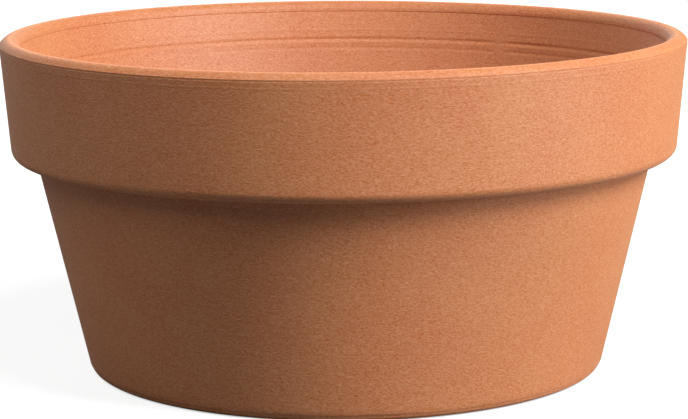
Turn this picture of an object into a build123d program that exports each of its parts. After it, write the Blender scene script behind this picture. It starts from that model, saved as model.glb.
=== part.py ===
from build123d import *
import os
from math import sqrt

# A half pot: a low round planter of bare fired clay, about half as tall as it is wide.
# Millimetres. The origin is the centre of the foot, on the ground, and +Z runs up the pot's axis.
# The clay is drawn as one half section, as (radius, height) corners, and cut level into the base, the
# wall and the collar. Each is turned about that axis, so that the three meet face to face.

# Driving dimensions of the outside
rim_diameter = 300.0
pot_height = 147.0
collar_height = 52.0
collar_lower_diameter = 291.6
wall_top_diameter = 271.0
foot_diameter = 227.0

# Driving dimensions of the inside
mouth_diameter = 283.2
inner_slope = 0.29
floor_thickness = 13.0
drain_hole_diameter = 26.0

# Rounded edges and corners
collar_edge_radius = 4.6
collar_crease_radius = 1.2
foot_edge_radius = 4.6
floor_corner_radius = 9.0
drain_lip_radius = 2.0

# The lip is a rolled bead: a round arc over the top, down to where it meets the faces below the rim.
# Inside it ends a little proud of the wall, in a small step.
lip_radius = 4.6
lip_outer_drop = 3.2
lip_inner_drop = 5.2
lip_inner_step = 0.9

# The foot ring: the floor is hollowed underneath, so that water can leave the drain hole
foot_ring_width = 14.0
foot_hollow_depth = 3.0
foot_hollow_slope = 2.5
drain_under_chamfer = 1.0

# Where the three masses of clay meet: the base just above its floor, the collar just below its crease
base_height = 15.0
collar_seam_drop = 3.0

# Turning marks under the lip: depth below the rim, and how deep each is cut
turning_mark_radius = 2.2
turning_marks = [(12.6, 0.25), (16.6, 0.55), (21.6, 0.35)]

rim_radius = rim_diameter / 2
mouth_radius = mouth_diameter / 2
collar_bottom = pot_height - collar_height
collar_seam = collar_bottom - collar_seam_drop
mouth_height = pot_height - lip_inner_drop - lip_inner_step


def lip_reach(drop):
    """How far the round bead stands out from its own centre, at a depth below the rim."""
    return sqrt(lip_radius**2 - (lip_radius - drop) ** 2)


def outer_wall(height):
    """Radius of the tapered wall's outside at a height."""
    foot_radius = foot_diameter / 2
    taper = (wall_top_diameter / 2 - foot_radius) / collar_bottom
    return foot_radius + taper * height


def inner_wall(height):
    """Radius of the inside face, one straight cone from the mouth down to the floor."""
    return mouth_radius - inner_slope * (mouth_height - height)


def rounded(face, place, radius):
    """The outline with the corner nearest to a (radius, height) place rounded."""
    nearest = min(face.vertices(), key=lambda vertex: (vertex.X - place[0]) ** 2 + (vertex.Y - place[1]) ** 2)
    return fillet(nearest, radius)


def half_section():
    """The whole pot's clay on one side of its axis."""
    lip_centre = rim_radius - lip_reach(lip_outer_drop)
    lip_outer = (rim_radius, pot_height - lip_outer_drop)
    lip_crown = (lip_centre, pot_height)
    lip_inner = (lip_centre - lip_reach(lip_inner_drop), pot_height - lip_inner_drop)
    below_lip = (mouth_radius, mouth_height)

    hole_radius = drain_hole_diameter / 2
    floor_corner = (inner_wall(floor_thickness), floor_thickness)
    drain_lip = (hole_radius, floor_thickness)
    ring_inner_radius = outer_wall(0) - foot_ring_width

    foot_edge = (outer_wall(0), 0)
    crease = (outer_wall(collar_bottom), collar_bottom)
    collar_edge = (collar_lower_diameter / 2, collar_bottom)

    inside_and_foot = Polyline(
        below_lip,
        floor_corner,
        drain_lip,
        (hole_radius, foot_hollow_depth + drain_under_chamfer),
        (hole_radius + drain_under_chamfer, foot_hollow_depth),
        (ring_inner_radius - foot_hollow_slope, foot_hollow_depth),
        (ring_inner_radius, 0),
        foot_edge,
    )
    outside = Polyline(foot_edge, crease, collar_edge, lip_outer)
    lip = ThreePointArc(lip_outer, lip_crown, lip_inner) + Line(lip_inner, below_lip)
    section = make_face(inside_and_foot + outside + lip)

    section = rounded(section, foot_edge, foot_edge_radius)
    section = rounded(section, crease, collar_crease_radius)
    section = rounded(section, collar_edge, collar_edge_radius)
    section = rounded(section, floor_corner, floor_corner_radius)
    section = rounded(section, drain_lip, drain_lip_radius)

    for drop, depth in turning_marks:
        height = pot_height - drop
        centre = inner_wall(height) - turning_mark_radius + depth
        section -= Pos(centre, height) * Circle(turning_mark_radius)
    return section


def turned_between(section, low, high):
    """The part of the section between two heights, turned once about the pot's axis."""
    band = Pos(0, low) * Rectangle(rim_diameter, high - low, align=(Align.MIN, Align.MIN))
    return revolve(Plane.XZ * (section & band), axis=Axis.Z, revolution_arc=360)


clay = half_section()
nodes = {
    # The floor slab with its foot ring, the drain hole and the start of the wall
    "base": turned_between(clay, 0, base_height),
    # The plain tapered wall, a little thicker towards the base
    "body_wall": turned_between(clay, base_height, collar_seam),
    # The heavy band round the top, from just under its crease to the rolled lip
    "rim_collar": turned_between(clay, collar_seam, pot_height),
}

os.makedirs("parts", exist_ok=True)
for name, node in nodes.items():
    node.label = name
    export_step(node, f"parts/{name}.step")
    size = node.bounding_box().size
    print(f"{name}: {size.X:.1f} x {size.Y:.1f} x {size.Z:.1f} mm, {node.volume / 1000:.1f} cm3")
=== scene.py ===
# %% [markdown]
# # A half pot of bare fired clay
# A half pot is a low planter, about half as tall as it is wide. It is turned on a wheel or pressed in a
# turning mould, dried, and fired without a glaze, so every surface is a surface of revolution with small
# faults: a rim that isn't quite level, marks of the tool under the lip, and the sandy skin of the clay.
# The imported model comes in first, as a fixed frame. It gives the sizes that everything here starts from.

# %% Load the frame
from math import atan2, ceil, cos, pi, radians, sin, sqrt, tan

import bmesh
import bpy
from mathutils import Matrix, Vector
from mathutils.geometry import interpolate_bezier


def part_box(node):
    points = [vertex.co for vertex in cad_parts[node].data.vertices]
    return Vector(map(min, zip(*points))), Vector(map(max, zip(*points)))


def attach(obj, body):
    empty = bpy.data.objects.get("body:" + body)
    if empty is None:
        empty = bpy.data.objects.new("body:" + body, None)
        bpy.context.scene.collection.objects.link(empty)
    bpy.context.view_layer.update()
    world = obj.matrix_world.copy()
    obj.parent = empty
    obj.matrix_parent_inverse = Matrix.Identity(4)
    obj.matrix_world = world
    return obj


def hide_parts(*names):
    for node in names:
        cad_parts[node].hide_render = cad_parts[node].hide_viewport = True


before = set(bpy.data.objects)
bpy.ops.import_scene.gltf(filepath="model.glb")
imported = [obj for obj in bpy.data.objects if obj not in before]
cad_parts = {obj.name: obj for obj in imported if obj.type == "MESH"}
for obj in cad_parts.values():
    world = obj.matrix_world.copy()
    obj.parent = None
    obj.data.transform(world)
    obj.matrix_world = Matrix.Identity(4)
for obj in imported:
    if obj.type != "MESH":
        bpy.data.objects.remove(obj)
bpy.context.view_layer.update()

mm = 0.001

collar_low, collar_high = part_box("rim_collar")
wall_low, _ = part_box("body_wall")

rim_radius = collar_high.x
pot_height = collar_high.z
collar_seam = collar_low.z
base_seam = wall_low.z
print(f"rim {2 * rim_radius / mm:.0f} mm across, pot {pot_height / mm:.0f} mm tall")
print(f"clay meets at {base_seam / mm:.0f} and {collar_seam / mm:.0f} mm")

# %% [markdown]
# ## The camera
# The picture was taken with a long lens, about a metre away and a little above the rim. A long lens keeps
# the ellipse of the rim thin and the sides of the pot nearly straight. The camera could be aimed at the
# pot by a constraint, but a matrix built from the three facts that a photographer would note down, which
# are the distance, how far it looks down and how far it is tilted, leaves nothing to be evaluated later.

# %% Place the camera
lens = 131.28
sensor_width = 36.0
camera_distance = 1115.2 * mm
look_down = radians(9.9165)
camera_tilt = radians(-0.5056)
slide_left = 0.24 * mm
slide_down = 5.5 * mm

level = Vector((1, 0, 0))
forward = Vector((0, cos(look_down), -sin(look_down)))
upward = Vector((0, sin(look_down), cos(look_down)))
camera_x = cos(camera_tilt) * level + sin(camera_tilt) * upward
camera_y = cos(camera_tilt) * upward - sin(camera_tilt) * level
middle = Vector((0, 0, pot_height / 2))
eye = middle - camera_distance * forward - slide_left * camera_x - slide_down * camera_y

lens_data = bpy.data.cameras.new("camera")
lens_data.lens = lens
lens_data.sensor_width = sensor_width
camera = bpy.data.objects.new("camera", lens_data)
facing = Matrix((camera_x, camera_y, -forward)).transposed().to_4x4()
camera.matrix_world = Matrix.Translation(eye) @ facing
bpy.context.scene.collection.objects.link(camera)
bpy.context.scene.camera = camera
print("camera at", [round(x / mm) for x in eye], "mm")

# %% [markdown]
# ## Wiring nodes
# Materials and Geometry Nodes are both trees of nodes. Laying each node by hand takes four lines, so a few
# small helpers do it. One adds a node with its settings and inputs, and the others add the sums, the
# vector sums and the bell curves that come back again and again. An input is given as a plain number, or
# as the socket of the node that feeds it.

# %% Helpers for node trees


def add(tree, kind, inputs=None, **settings):
    """One node, with its settings, and with its inputs set to numbers or wired to sockets."""
    node = tree.nodes.new(kind)
    for name, value in settings.items():
        setattr(node, name, value)
    for key, value in (inputs or {}).items():
        if isinstance(value, bpy.types.NodeSocket):
            tree.links.new(value, node.inputs[key])
        else:
            node.inputs[key].default_value = value
    return node


def calc(tree, operation, *values):
    """The output of one Math node."""
    return add(tree, "ShaderNodeMath", dict(enumerate(values)), operation=operation).outputs[0]


def vector_calc(tree, operation, *values):
    """The outputs of one Vector Math node, which are Vector and Value."""
    return add(tree, "ShaderNodeVectorMath", dict(enumerate(values)), operation=operation).outputs


def bell(tree, value):
    """A bell curve, which is 1 where the value is 0 and as good as 0 from 2 on."""
    return calc(tree, "EXPONENT", calc(tree, "MULTIPLY", calc(tree, "MULTIPLY", value, value), -1.0))


def noise_at(tree, place, scale, detail):
    """A noise from 0 to 1. The scale is how many of its spots fit in a metre."""
    return add(tree, "ShaderNodeTexNoise", {"Vector": place, "Scale": scale, "Detail": detail}).outputs["Fac"]


def new_group(name, kind, inputs, outputs):
    """An empty node group with named sockets, and its two end nodes."""
    tree = bpy.data.node_groups.new(name, kind)
    for socket_name, socket_type, default in inputs:
        socket = tree.interface.new_socket(socket_name, in_out="INPUT", socket_type=socket_type)
        if default is not None:
            socket.default_value = default
    for socket_name, socket_type in outputs:
        tree.interface.new_socket(socket_name, in_out="OUTPUT", socket_type=socket_type)
    return tree, add(tree, "NodeGroupInput").outputs, add(tree, "NodeGroupOutput").inputs


print("helpers for nodes, sums, vector sums, bell curves, noise and groups")

# %% [markdown]
# ## The grain of the clay
# Unglazed terracotta is a fine clay with sand in it. Close up it has a sandy grain about a millimetre
# across, and faint level lines left by the hand or the tool while the pot turned. An image could show
# both, but it would stretch on the lip and need unwrapping. Noise read from the object's own coordinates
# has one scale all over the pot and runs on from one piece of clay into the next.

# %% Grain: a group that gives the height of the sand and its tone
grains_per_metre = 900.0
grain_squeeze = 2.5
streaks_per_metre = 55.0
streak_squeeze = 14
streak_height = 0.5
grain_detail = 1.0
streak_detail = 2.0

# Each size of grain: how many there are against the finest, and its shares in the height and in the tone
grain_sizes = [(1.0, 0.8, 0.7), (0.5, 0.5, 0.3), (0.22, 0.15, 0.04)]


def sandy_grain():
    """Noise in three sizes. It is squeezed in height, because the turning clay is drawn out level."""
    tree, given, result = new_group(
        "sandy_grain",
        "ShaderNodeTree",
        [
            ("Place", "NodeSocketVector", None),
            ("Grains per Metre", "NodeSocketFloat", grains_per_metre),
            ("Squeeze", "NodeSocketFloat", grain_squeeze),
            ("Streak Height", "NodeSocketFloat", streak_height),
        ],
        [("Height", "NodeSocketFloat"), ("Tone", "NodeSocketFloat")],
    )
    squeeze = add(tree, "ShaderNodeCombineXYZ", {"X": 1.0, "Y": 1.0, "Z": given["Squeeze"]}).outputs[0]
    drawn = vector_calc(tree, "MULTIPLY", given["Place"], squeeze)["Vector"]
    height = 0.0
    tone = 0.0
    for share, height_part, tone_part in grain_sizes:
        scale = calc(tree, "MULTIPLY", given["Grains per Metre"], share)
        centred = calc(tree, "SUBTRACT", noise_at(tree, drawn, scale, grain_detail), 0.5)
        height = calc(tree, "MULTIPLY_ADD", centred, height_part, height)
        tone = calc(tree, "MULTIPLY_ADD", centred, tone_part, tone)
    flattened = vector_calc(tree, "MULTIPLY", given["Place"], (1, 1, streak_squeeze))["Vector"]
    streaks = calc(tree, "SUBTRACT", noise_at(tree, flattened, streaks_per_metre, streak_detail), 0.5)
    height = calc(tree, "MULTIPLY_ADD", streaks, given["Streak Height"], height)
    tree.links.new(height, result["Height"])
    tree.links.new(tone, result["Tone"])
    return tree


grain_group = sandy_grain()
print("grain group:", len(grain_group.nodes), "nodes")

# %% [markdown]
# ## Kiln clouds
# The heat of the kiln and the drying differ a little from place to place, so the clay fires in soft redder
# and paler clouds. They could be painted by hand on the mesh. A slow noise gives the same without a seam,
# and one input says how large the clouds are.

# %% Clouds: a group that gives where the clay fired redder
clouds_per_metre = 22.0
cloud_detail = 4.0
cloud_roughness = 0.55
cloud_distortion = 0.4
palest = 0.35
reddest = 0.70


def kiln_clouds():
    """Soft patches, from 0 where the clay is pale to 1 where it is redder."""
    tree, given, result = new_group(
        "kiln_clouds",
        "ShaderNodeTree",
        [("Place", "NodeSocketVector", None), ("Clouds per Metre", "NodeSocketFloat", clouds_per_metre)],
        [("Redder", "NodeSocketFloat")],
    )
    noise = add(
        tree,
        "ShaderNodeTexNoise",
        {
            "Vector": given["Place"],
            "Scale": given["Clouds per Metre"],
            "Detail": cloud_detail,
            "Roughness": cloud_roughness,
            "Distortion": cloud_distortion,
        },
    )
    soft = add(
        tree,
        "ShaderNodeMapRange",
        {"Value": noise.outputs["Fac"], "From Min": palest, "From Max": reddest},
        interpolation_type="SMOOTHSTEP",
    )
    tree.links.new(soft.outputs["Result"], result["Redder"])
    return tree


cloud_group = kiln_clouds()
print("cloud group:", len(cloud_group.nodes), "nodes")

# %% [markdown]
# ## The terracotta
# Bare clay is matt, and its dusty skin brightens a little where it is seen along the surface, which a low
# sheen gives. The sand is grey and the clay is orange, so the grains are added as a nearly neutral tint: to
# scale the clay's own colour would make each grain more orange. A narrow ring on the crown of the lip is
# painted paler, as a painted highlight where light from above catches the crown.

# %% The terracotta material
clay_pale = (0.615, 0.238, 0.092, 1)
clay_red = (0.598, 0.213, 0.081, 1)
clay_ior = 1.6
clay_roughness = 0.6
dust_weight = 0.08
dust_roughness = 0.4
grain_depth = 0.10 * mm
grain_contrast = 0.95
sand_tint = (0.37, 0.37, 0.29)
# The crown ring is a painted highlight: the clay is made paler where light from above catches the lip.
crown_inset = 4.6 * mm
crown_half_width = 1.1 * mm
crown_zone = 3 * mm
crown_highlight_gain = 0.32

clay = bpy.data.materials.new("fired_clay")


def painted_crown_highlight(tree, place):
    """A painted highlight: 1 all over, and more on the crown of the lip, where light from above catches it.
    """
    at = add(tree, "ShaderNodeSeparateXYZ", {"Vector": place}).outputs
    flat = add(tree, "ShaderNodeCombineXYZ", {"X": at["X"], "Y": at["Y"]}).outputs[0]
    off_crown = calc(tree, "SUBTRACT", vector_calc(tree, "LENGTH", flat)["Value"], rim_radius - crown_inset)
    ring = bell(tree, calc(tree, "DIVIDE", off_crown, crown_half_width))
    high = calc(tree, "GREATER_THAN", at["Z"], pot_height - crown_zone)
    return calc(tree, "MULTIPLY_ADD", calc(tree, "MULTIPLY", ring, high), crown_highlight_gain, 1.0)


def finish_clay(material):
    """Bare fired clay: matt, sandy, with faint redder clouds and a painted highlight on the crown of the lip.
    """
    material.use_nodes = True
    tree = material.node_tree
    shader = tree.nodes["Principled BSDF"]
    shader.inputs["IOR"].default_value = clay_ior
    shader.inputs["Diffuse Roughness"].default_value = clay_roughness
    shader.inputs["Roughness"].default_value = clay_roughness
    shader.inputs["Sheen Weight"].default_value = dust_weight
    shader.inputs["Sheen Roughness"].default_value = dust_roughness
    place = add(tree, "ShaderNodeTexCoord").outputs["Object"]
    grain = add(tree, "ShaderNodeGroup", node_tree=grain_group)
    clouds = add(tree, "ShaderNodeGroup", node_tree=cloud_group)
    for node in (grain, clouds):
        tree.links.new(place, node.inputs["Place"])
    grain.inputs["Grains per Metre"].default_value = grains_per_metre
    clouds.inputs["Clouds per Metre"].default_value = clouds_per_metre
    mixed = {0: clouds.outputs["Redder"], 6: clay_pale, 7: clay_red}
    base = add(tree, "ShaderNodeMix", mixed, data_type="RGBA").outputs[2]
    # Scaling the colour up on the crown of the lip paints a highlight there.
    lightness = {0: base, "Scale": painted_crown_highlight(tree, place)}
    highlighted = add(tree, "ShaderNodeVectorMath", lightness, operation="SCALE").outputs["Vector"]
    sand = calc(tree, "MULTIPLY", grain.outputs["Tone"], grain_contrast)
    colour = vector_calc(tree, "MULTIPLY_ADD", sand, sand_tint, highlighted)["Vector"]
    tree.links.new(colour, shader.inputs["Base Color"])
    bumps = {"Height": grain.outputs["Height"], "Distance": grain_depth, "Strength": 1.0}
    tree.links.new(add(tree, "ShaderNodeBump", bumps).outputs["Normal"], shader.inputs["Normal"])


finish_clay(clay)
print("terracotta:", len(clay.node_tree.nodes), "nodes")

# %% [markdown]
# ## The section of the clay
# Cut the pot in half and the cut face is its section: foot, wall, collar, lip and floor. Turning that
# outline about the axis gives the whole pot. The outline is written as corners, each with how far it is
# rounded and how fine the stretch that leads to it is divided. The stretches with tool marks are divided
# finely, so that the marks are real dents in the clay. The overall sizes come from the frame.

# %% Sizes of the section
collar_height = 52 * mm
collar_bottom = pot_height - collar_height
collar_lower_radius = 145.8 * mm
collar_rounding = 4.6 * mm
crease_rounding = 1.2 * mm
wall_top_radius = 135.5 * mm
foot_radius = 113.5 * mm
foot_rounding = 4.6 * mm

ring_inner_radius = foot_radius - 14 * mm
hollow_depth = 3 * mm
hollow_slope = 2.5 * mm
hole_radius = 13 * mm
hole_rounding = 2 * mm
hole_chamfer = 1 * mm

mouth_radius = 141.6 * mm
mouth_height = pot_height - 6.1 * mm
inner_slope = 0.29
floor_thickness = 13 * mm
floor_rounding = 9 * mm


def outer_wall(height):
    """Radius of the tapered wall's outside at a height."""
    return foot_radius + (wall_top_radius - foot_radius) * height / collar_bottom


def inner_wall(height):
    """Radius of the inside face at a height."""
    return mouth_radius - inner_slope * (mouth_height - height)


third_up = pot_height / 3
print(f"wall {(outer_wall(third_up) - inner_wall(third_up)) / mm:.1f} mm thick a third of the way up")

# %% Turn corners into a fine outline
arc_step = radians(6)


def rounding(before, corner, after, radius):
    """The arc that rounds a corner, as points from the side before it to the side after it."""
    back = (Vector(before) - Vector(corner)).normalized()
    on = (Vector(after) - Vector(corner)).normalized()
    half_angle = back.angle(on) / 2
    start = Vector(corner) + back * radius / tan(half_angle)
    centre = Vector(corner) + (back + on).normalized() * radius / sin(half_angle)
    sweep = pi - 2 * half_angle
    if back.x * on.y - back.y * on.x > 0:
        sweep = -sweep
    count = max(2, ceil(abs(sweep) / arc_step))
    spoke = start - centre
    turns = [Matrix.Rotation(sweep * step / count, 2) for step in range(count + 1)]
    return [centre + turn @ spoke for turn in turns]


def trace(corners):
    """Fine points along corners given as (radius, height, rounding, step of the stretch before it)."""
    points = []
    for index, (across, height, radius, step) in enumerate(corners):
        corner = [Vector((across, height))]
        if radius:
            corner = rounding(corners[index - 1][:2], (across, height), corners[index + 1][:2], radius)
        if points:
            start = points[-1]
            count = max(1, ceil((corner[0] - start).length / step))
            points += [start.lerp(corner[0], part / count) for part in range(1, count)]
        points += corner
    return points


print(f"arcs have a point every {arc_step / radians(1):.0f} degrees")

# %% [markdown]
# ## The lip
# The lip is a round bead on the inside. Outside, the band runs up to a crisp edge, and from there a
# flatter face slopes up to the crown, because the maker's hand or the mould finished it in one pull. A
# single arc can't give that face, so it is a Bezier curve that leaves the crown level and meets the edge
# on a slope. Inside, the bead ends in a small step onto the wall.

# %% Sizes of the lip
lip_radius = 4.6 * mm
lip_width = 4.4 * mm
lip_edge_drop = 2.4 * mm
lip_inner_drop = 4.4 * mm
lip_face_points = 14
crown_pull = Vector((2.0, 0)) * mm
edge_pull = Vector((-1.1, 1.15)) * mm
edge_soft = 0.15 * mm
band_top_drop = 3.2 * mm
step_drop = 4.8 * mm
step_radius = 141.22 * mm
lip_centre = rim_radius - lip_width


def lip_reach(drop):
    """How far the round bead of the lip stands out from its own centre, at a depth below the rim."""
    return sqrt(lip_radius**2 - (lip_radius - drop) ** 2)


def lip_face():
    """The outer face of the lip, from its crisp edge up to its crown."""
    crown = Vector((lip_centre, pot_height))
    edge = Vector((rim_radius - edge_soft, pot_height - lip_edge_drop))
    return interpolate_bezier(edge, edge + edge_pull, crown + crown_pull, crown, lip_face_points)[1:]


def lip_bead():
    """The round inner side of the lip, from its crown to the step."""
    end = pi - atan2(lip_radius - lip_inner_drop, lip_reach(lip_inner_drop))
    count = ceil((end - pi / 2) / arc_step)
    angles = [pi / 2 + (end - pi / 2) * step / count for step in range(1, count)]
    return [
        Vector((lip_centre + lip_radius * cos(angle), pot_height - lip_radius + lip_radius * sin(angle)))
        for angle in angles
    ]


lip = lip_face() + lip_bead()
print(len(lip), "points round the lip")

# %% The whole outline
coarse = 5 * mm
medium = 2.5 * mm
fine = 0.35 * mm
finest = 0.2 * mm
line_zone = pot_height - 7.4 * mm
mark_zone = pot_height - 26 * mm
band_top = pot_height - band_top_drop
band_slope = (rim_radius - collar_lower_radius) / (band_top - collar_bottom)

outside = trace(
    [
        (hole_radius, hollow_depth + hole_chamfer, 0, coarse),
        (hole_radius + hole_chamfer, hollow_depth, 0, coarse),
        (ring_inner_radius - hollow_slope, hollow_depth, 0, coarse),
        (ring_inner_radius, 0, 0, coarse),
        (foot_radius, 0, foot_rounding, coarse),
        (wall_top_radius, collar_bottom, crease_rounding, medium),
        (collar_lower_radius, collar_bottom, collar_rounding, coarse),
        (rim_radius - band_slope * (band_top - line_zone), line_zone, 0, coarse),
        (rim_radius, band_top, 0, finest),
        (rim_radius, pot_height - lip_edge_drop - edge_soft, 0, finest),
        (rim_radius - edge_soft, pot_height - lip_edge_drop, 0, finest),
    ]
)
inside = trace(
    [
        (hole_radius, hollow_depth + hole_chamfer, 0, coarse),
        (hole_radius, floor_thickness, hole_rounding, coarse),
        (inner_wall(floor_thickness), floor_thickness, floor_rounding, coarse),
        (inner_wall(mark_zone), mark_zone, 0, medium),
        (step_radius, pot_height - step_drop, 0, fine),
        (lip_centre - lip_reach(lip_inner_drop), pot_height - lip_inner_drop, 0, fine),
    ]
)
print(len(outside), "points outside and", len(inside), "inside")

# %% [markdown]
# ## The wheel
# The outline is turned by Geometry Nodes: the tree sweeps it round a circle, as a Curve to Mesh does with
# a profile, and then moves every point by a small amount that depends only on where it is. Because the
# move has no other input, two pieces of clay that meet keep meeting. A Screw modifier could sweep the
# outline too, but not lean the rim or fade a tool mark round the pot.

# %% The sweep
rounds = 560
hub = 1 * mm


def sweep_round(tree, given):
    """The outline, laid flat as a profile and swept round the hub, with its faces turned outwards."""
    spot = add(tree, "ShaderNodeSeparateXYZ", {"Vector": add(tree, "GeometryNodeInputPosition").outputs[0]})
    from_hub = calc(tree, "SUBTRACT", spot.outputs["X"], given["Hub"])
    downwards = calc(tree, "MULTIPLY", spot.outputs["Z"], -1.0)
    flat = add(tree, "ShaderNodeCombineXYZ", {"X": from_hub, "Y": downwards}).outputs[0]
    profile = add(tree, "GeometryNodeMeshToCurve", {"Mesh": given["Outline"]}).outputs[0]
    laid = add(tree, "GeometryNodeSetPosition", {"Geometry": profile, "Position": flat}).outputs[0]
    ring = {"Resolution": given["Rounds"], "Radius": given["Hub"]}
    circle = add(tree, "GeometryNodeCurvePrimitiveCircle", ring).outputs["Curve"]
    upright = add(tree, "GeometryNodeSetCurveNormal", {"Curve": circle}, mode="Z_UP").outputs[0]
    swept = add(tree, "GeometryNodeCurveToMesh", {"Curve": upright, "Profile Curve": laid}).outputs[0]
    return add(tree, "GeometryNodeFlipFaces", {"Mesh": swept}).outputs[0]


def place_on_pot(tree, given):
    """Where each point is: its place, its angle round the pot, its radius and its depth below the rim."""
    place = add(tree, "GeometryNodeInputPosition").outputs[0]
    x, y, z = add(tree, "ShaderNodeSeparateXYZ", {"Vector": place}).outputs
    return {
        "place": place,
        "x": x,
        "y": y,
        "angle": calc(tree, "ARCTAN2", y, x),
        "radius": calc(tree, "SQRT", calc(tree, "MULTIPLY_ADD", x, x, calc(tree, "MULTIPLY", y, y))),
        "below_rim": calc(tree, "SUBTRACT", given["Rim Height"], z),
    }


print(rounds, "steps round the pot, swept from a hub of", hub / mm, "mm")

# %% [markdown]
# ## Tool marks, pits and a rim that leans
# A rib or a finger held against the turning clay leaves grooves that run all the way round, but no hand
# is steady: each groove is deeper on one side of the pot, breaks up in patches, and was wiped away at one
# place inside, where something touched the wet clay. Small stones dragged out of the skin leave pits. The
# rim sinks a little unevenly as it dries. Every mark could be sculpted by hand. Here each one is a bell
# curve in the depth below the rim, so it keeps a name and sizes that can be changed.

# %% Marks, pits and waves of the rim
# Each mark: its name, its side of the clay, how far it lies below the rim, how deep it is, half its width,
# how much of it fades, and the angle in degrees where it is at its full depth. A negative depth is a ridge.
marks = [
    ("upper", "inside", 13.6 * mm, -0.10 * mm, 0.6 * mm, 0.3, 120),
    ("main", "inside", 18.0 * mm, 0.50 * mm, 0.75 * mm, 0.2, 80),
    ("main_ridge", "inside", 19.5 * mm, -0.13 * mm, 0.5 * mm, 0.3, 60),
    ("lower", "inside", 22.1 * mm, 0.30 * mm, 0.75 * mm, 1.0, 20),
    ("under_lip", "outside", 3.15 * mm, 0.12 * mm, 0.3 * mm, 0.4, 250),
    ("second_line", "outside", 6.1 * mm, -0.05 * mm, 0.35 * mm, 0.8, 270),
    ("foot_line", "outside", pot_height - 2.5 * mm, 0.30 * mm, 0.50 * mm, 0.3, 250),
]
patches_per_metre = 35.0
patch_detail = 2.0
patch_stretch = 0.2
patch_strength = 1.8
patch_least = 0.1
smear_angle = radians(56.7)
smear_half_width = radians(1.6)

# Each pit in the inside face: its angle in degrees, how far below the rim, its radius and how deep it is
pits = [(60.7, 10.3 * mm, 1.3 * mm, 0.35 * mm), (127, 12.0 * mm, 1.5 * mm, 0.15 * mm)]

unevenness = 0.12 * mm
swells_per_metre = 18.0
swell_detail = 1.0

# Each wave of the rim: how many times it rises round the pot, its phase and its height
rim_waves = [
    (0, "COSINE", 0.25 * mm),
    (1, "COSINE", -0.21 * mm),
    (1, "SINE", 0.58 * mm),
    (2, "COSINE", 0.10 * mm),
    (2, "SINE", -0.26 * mm),
]
print(len(marks), "marks,", len(pits), "pits and", len(rim_waves), "waves of the rim")

# %% Moving the skin


def tool_marks(tree, given, at):
    """How far the marks move the skin away from the axis. Inside, they are smeared at one place."""
    along = vector_calc(tree, "MULTIPLY", at["place"], (1, 1, patch_stretch))["Vector"]
    patchy = noise_at(tree, along, patches_per_metre, patch_detail)
    uneven = calc(tree, "MULTIPLY_ADD", patchy, patch_strength, patch_least)
    off_smear = calc(tree, "DIVIDE", calc(tree, "SUBTRACT", at["angle"], smear_angle), smear_half_width)
    spared = calc(tree, "SUBTRACT", 1.0, bell(tree, off_smear))
    kept = {"inside": calc(tree, "MULTIPLY", uneven, spared), "outside": uneven}
    stored = add(tree, "GeometryNodeInputNamedAttribute", {"Name": "side"}, data_type="FLOAT")
    side = stored.outputs["Attribute"]
    push = 0.0
    for name, face, _, _, _, fade, towards in marks:
        away = calc(tree, "SUBTRACT", at["below_rim"], given[f"{name} Drop"])
        hollow = bell(tree, calc(tree, "DIVIDE", away, given[f"{name} Half Width"]))
        turned = calc(tree, "COSINE", calc(tree, "SUBTRACT", at["angle"], radians(towards)))
        faded = calc(tree, "MULTIPLY_ADD", turned, fade / 2, 1 - fade / 2)
        strength = calc(tree, "MULTIPLY", faded, kept[face])
        sign = 1.0 if face == "inside" else -1.0
        only = calc(tree, "MAXIMUM", calc(tree, "MULTIPLY", side, sign), 0.0)
        inwards = calc(tree, "MULTIPLY", only, sign)
        cut = calc(tree, "MULTIPLY", calc(tree, "MULTIPLY", hollow, strength), inwards)
        push = calc(tree, "MULTIPLY_ADD", cut, given[f"{name} Depth"], push)
    return push


def pits_and_swells(tree, given, at, push):
    """The pits, and a slow unevenness of the whole skin, added to the move of the marks."""
    for degrees, drop, pit_radius, pit_depth in pits:
        pit_height = pot_height - drop
        reach = inner_wall(pit_height)
        pit_place = (reach * cos(radians(degrees)), reach * sin(radians(degrees)), pit_height)
        gap = vector_calc(tree, "DISTANCE", at["place"], pit_place)["Value"]
        push = calc(tree, "MULTIPLY_ADD", bell(tree, calc(tree, "DIVIDE", gap, pit_radius)), pit_depth, push)
    slow = noise_at(tree, at["place"], swells_per_metre, swell_detail)
    swell = calc(tree, "SUBTRACT", slow, 0.5)
    return calc(tree, "MULTIPLY_ADD", swell, given["Unevenness"], push)


def rim_lift(tree, given, at):
    """How far each point rises: by the whole wave at the rim, and not at all under the collar."""
    share = calc(tree, "SUBTRACT", 1.0, calc(tree, "DIVIDE", at["below_rim"], given["Collar Height"]))
    wave = 0.0
    for times, phase, size in rim_waves:
        swing = calc(tree, phase, calc(tree, "MULTIPLY", at["angle"], times))
        wave = calc(tree, "MULTIPLY_ADD", swing, size, wave)
    return calc(tree, "MULTIPLY", wave, calc(tree, "MAXIMUM", share, 0.0))


print(f"the deepest mark is {max(depth for _, _, _, depth, *_ in marks) / mm:.1f} mm deep")

# %% The tree of the wheel
sharp_bend = radians(32)


def shade_round(tree, geometry):
    """Shade the round faces smooth and keep real corners sharp."""
    smooth = add(tree, "GeometryNodeSetShadeSmooth", {"Geometry": geometry}, domain="FACE").outputs[0]
    bend = add(tree, "GeometryNodeInputMeshEdgeAngle").outputs["Unsigned Angle"]
    limits = {"A": bend, "B": sharp_bend}
    soft = add(tree, "FunctionNodeCompare", limits, data_type="FLOAT", operation="LESS_THAN").outputs[0]
    edges = {"Geometry": smooth, "Shade Smooth": soft}
    return add(tree, "GeometryNodeSetShadeSmooth", edges, domain="EDGE").outputs[0]


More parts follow.
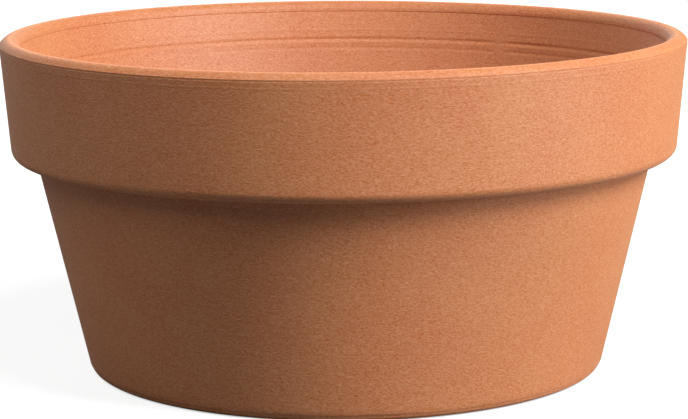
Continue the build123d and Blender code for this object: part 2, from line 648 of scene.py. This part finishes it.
def wheel():
    """The tree that turns an outline into clay."""
    sizes = [("Hub", hub), ("Rim Height", pot_height), ("Collar Height", collar_height)]
    for name, _, *values in marks:
        sizes += [(f"{name} {size}", value) for size, value in zip(("Drop", "Depth", "Half Width"), values)]
    sizes += [("Unevenness", unevenness)]
    tree, given, result = new_group(
        "wheel",
        "GeometryNodeTree",
        [("Outline", "NodeSocketGeometry", None), ("Rounds", "NodeSocketInt", rounds)]
        + [(name, "NodeSocketFloat", value) for name, value in sizes]
        + [("Clay", "NodeSocketMaterial", None)],
        [("Pot", "NodeSocketGeometry")],
    )
    tree.is_modifier = True
    at = place_on_pot(tree, given)
    push = pits_and_swells(tree, given, at, tool_marks(tree, given, at))
    grow = calc(tree, "DIVIDE", push, at["radius"])
    move = {
        "X": calc(tree, "MULTIPLY", at["x"], grow),
        "Y": calc(tree, "MULTIPLY", at["y"], grow),
        "Z": rim_lift(tree, given, at),
    }
    offset = add(tree, "ShaderNodeCombineXYZ", move).outputs[0]
    shifts = {"Geometry": sweep_round(tree, given), "Offset": offset}
    moved = add(tree, "GeometryNodeSetPosition", shifts).outputs[0]
    real = add(tree, "GeometryNodeRealizeInstances", {"Geometry": shade_round(tree, moved)}).outputs[0]
    clayed = add(tree, "GeometryNodeSetMaterial", {"Geometry": real, "Material": given["Clay"]})
    tree.links.new(clayed.outputs[0], result["Pot"])
    return tree


wheel_tree = wheel()
print("wheel:", len(wheel_tree.nodes), "nodes")

# %% [markdown]
# ## Three masses of clay
# The pot is one fired piece, and a maker still thinks of it in three masses: the base with its foot ring
# and drain hole, the wall drawn up from it, and the heavy collar with the lip. Each takes its own part of
# the outline, closed by a level cut, so that each is a solid of its own that meets the next face to face.
# The volume that is printed is positive only where the faces point outwards.

# %% Split and close the outline
same_height = 1e-7


def part_at(points, height):
    """A run of the outline, split where it first passes a height on its way up."""
    first_above = next(index for index, point in enumerate(points) if point.y > height + same_height)
    low, high = points[first_above - 1], points[first_above]
    cut = low.lerp(high, (height - low.y) / (high.y - low.y))
    below = points[: first_above - 1] + ([low] if cut.y - low.y > same_height else []) + [cut]
    return below, [cut] + points[first_above:]


def outline_mesh(name, outer, inner):
    """The closed outline as a mesh of edges. Its side is -1 outside and 1 inside."""
    loop = [(point, -1.0) for point in outer] + [(point, 1.0) for point in reversed(inner)]
    mesh = bpy.data.meshes.new(name + "_outline")
    edges = [(index, (index + 1) % len(loop)) for index in range(len(loop))]
    mesh.from_pydata([(point.x, 0, point.y) for point, _ in loop], edges, [])
    mesh.attributes.new("side", "FLOAT", "POINT").data.foreach_set("value", [side for _, side in loop])
    return mesh


# The two outlines start at the same point, by the drain hole, so the base leaves it out of the inner one
outer_base, outer_rest = part_at(outside, base_seam)
outer_wall_run, outer_collar = part_at(outer_rest, collar_seam)
inner_base, inner_rest = part_at(inside, base_seam)
inner_wall_run, inner_collar = part_at(inner_rest, collar_seam)
print("base:", len(outer_base), "points outside and", len(inner_base) - 1, "inside")

# %% Turn each mass of clay


def volume_of(mesh):
    """The volume that a closed mesh holds. It is negative where the faces point inwards."""
    solid = bmesh.new()
    solid.from_mesh(mesh)
    volume = solid.calc_volume(signed=True)
    solid.free()
    return volume


def turn_clay(name, node, outer, inner):
    """One closed piece of clay, turned from its two runs of the outline, standing for a CAD node."""
    outline = outline_mesh(name, outer, inner)
    piece = bpy.data.objects.new(name, outline)
    bpy.context.scene.collection.objects.link(piece)

    turning = piece.modifiers.new("wheel", "NODES")
    turning.node_group = wheel_tree
    items = wheel_tree.interface.items_tree
    sockets = {item.name: item.identifier for item in items if item.in_out == "INPUT"}
    turning[sockets["Clay"]] = clay
    turning[sockets["Rounds"]] = rounds
    shaped = bpy.data.meshes.new_from_object(piece.evaluated_get(bpy.context.evaluated_depsgraph_get()))
    piece.modifiers.remove(turning)
    piece.data = shaped
    bpy.data.meshes.remove(outline)
    shaped.name = name

    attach(piece, "root")
    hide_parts(node)
    triangles = sum(len(polygon.vertices) - 2 for polygon in shaped.polygons)
    print(f"{name}: {triangles} triangles, {volume_of(shaped) / (10 * mm) ** 3:.0f} cm3")


turn_clay("turned_base", "base", outer_base, inner_base[1:])
turn_clay("turned_wall", "body_wall", outer_wall_run, inner_wall_run)
turn_clay("turned_collar", "rim_collar", outer_collar + lip, inner_collar)

# %% [markdown]
# ## Floor
# The pot stands on a pale floor that runs on into a white background. A floor that really reflected that
# much would throw light up under the collar, where the picture has a deep shadow. So the camera sees a
# nearly white floor, which keeps the pot's shadow, and the pot itself sees a darker, matt one. The floor
# lies a hair below the foot, because two faces at the same height would flicker.

# %% Lay the floor
floor_size = 12.0
floor_tone = (0.15, 0.15, 0.15, 1)
seen_tone = (0.25, 0.25, 0.25, 1)
near_glow = 0.86
far_glow = 1.0
near_radius = 0.2
far_radius = 0.6
painted_shade_radius = foot_radius - 5 * mm
painted_shade_edge = foot_radius - 1 * mm
floor_drop = 0.05 * mm


def pale_floor():
    """Nearly white to the camera, with the pot's shadow in it and painted shade under the pot, and grey to
    the pot.
    """
    material = bpy.data.materials.new("pale_floor")
    material.use_nodes = True
    tree = material.node_tree
    tree.nodes.remove(tree.nodes["Principled BSDF"])
    quiet = add(tree, "ShaderNodeBsdfDiffuse", {"Color": floor_tone}).outputs[0]
    shadowed = add(tree, "ShaderNodeBsdfDiffuse", {"Color": seen_tone}).outputs[0]
    away = vector_calc(tree, "LENGTH", add(tree, "ShaderNodeTexCoord").outputs["Object"])["Value"]
    spread = {"From Min": near_radius, "From Max": far_radius, "To Min": near_glow, "To Max": far_glow}
    glow = add(tree, "ShaderNodeMapRange", {"Value": away, **spread}).outputs["Result"]
    # Under the foot the glow is taken away, as painted shade, so the floor seen through the drain hole is
    # dark.
    clear_of_painted_shade = {"Value": away, "From Min": painted_shade_radius, "From Max": painted_shade_edge}
    outside_painted_shade = add(tree, "ShaderNodeMapRange", clear_of_painted_shade).outputs["Result"]
    light = add(tree, "ShaderNodeEmission", {"Strength": calc(tree, "MULTIPLY", glow, outside_painted_shade)})
    seen = add(tree, "ShaderNodeAddShader", {0: shadowed, 1: light.outputs[0]}).outputs[0]
    by_camera = add(tree, "ShaderNodeLightPath").outputs["Is Camera Ray"]
    either = add(tree, "ShaderNodeMixShader", {0: by_camera, 1: quiet, 2: seen}).outputs[0]
    tree.links.new(either, tree.nodes["Material Output"].inputs["Surface"])
    return material


def make_floor():
    """One large square, which is stage and not part of the pot."""
    mesh = bpy.data.meshes.new("floor")
    half = floor_size / 2
    corners = [(-half, -half), (half, -half), (half, half), (-half, half)]
    mesh.from_pydata([(x, y, -floor_drop) for x, y in corners], [], [(0, 1, 2, 3)])
    mesh.materials.append(pale_floor())
    floor = bpy.data.objects.new("floor", mesh)
    bpy.context.scene.collection.objects.link(floor)


make_floor()
print("floor", floor_size, "m across")

# %% [markdown]
# ## Background and light
# The background is white to the camera and dark to the pot, so that only the lamps light it. The light
# comes from a studio with one broad soft source on the right, made of a high and a low lamp, a top lamp,
# and a weak fill from the front left that keeps the dark side readable. A wide lamp behind on the left and
# one at the left side only graze the edges.

# %% World and lamps
lamp_distance = 1.6

# Name, azimuth and elevation in degrees, size in metres and power in watts
lamps = [
    ("key_high", 56, 36, 0.57, 26.3),
    ("key_low", 71, 9.5, 0.46, 12.8),
    ("fill", -31, 46, 0.81, 5.9),
    ("top", 16, 61, 0.20, 6.9),
    ("edge", -162, 13, 1.80, 11.6),
    ("left", -95, 9, 1.10, 3.8),
]


def light_the_world():
    """White where the camera looks past the pot, and dark for the pot itself."""
    world = bpy.data.worlds.new("studio")
    bpy.context.scene.world = world
    world.use_nodes = True
    tree = world.node_tree
    background = tree.nodes["Background"]
    background.inputs["Color"].default_value = (1, 1, 1, 1)
    tree.links.new(add(tree, "ShaderNodeLightPath").outputs["Is Camera Ray"], background.inputs["Strength"])


def lamp(name, azimuth, elevation, size, power):
    """A soft square lamp that looks at the pot. Azimuth 0 is towards the camera, 90 is to the right."""
    data = bpy.data.lights.new(name, "AREA")
    data.shape = "SQUARE"
    data.size = size
    data.energy = power
    swing, rise = radians(azimuth), radians(elevation)
    towards = Vector((sin(swing) * cos(rise), -cos(swing) * cos(rise), sin(rise)))
    lamp_object = bpy.data.objects.new(name, data)
    lamp_object.location = middle + towards * lamp_distance
    lamp_object.rotation_euler = (-towards).to_track_quat("-Z", "Y").to_euler()
    bpy.context.scene.collection.objects.link(lamp_object)


light_the_world()
for settings in lamps:
    lamp(*settings)
bpy.context.scene.view_settings.view_transform = "Standard"
print(len(lamps), "lamps")
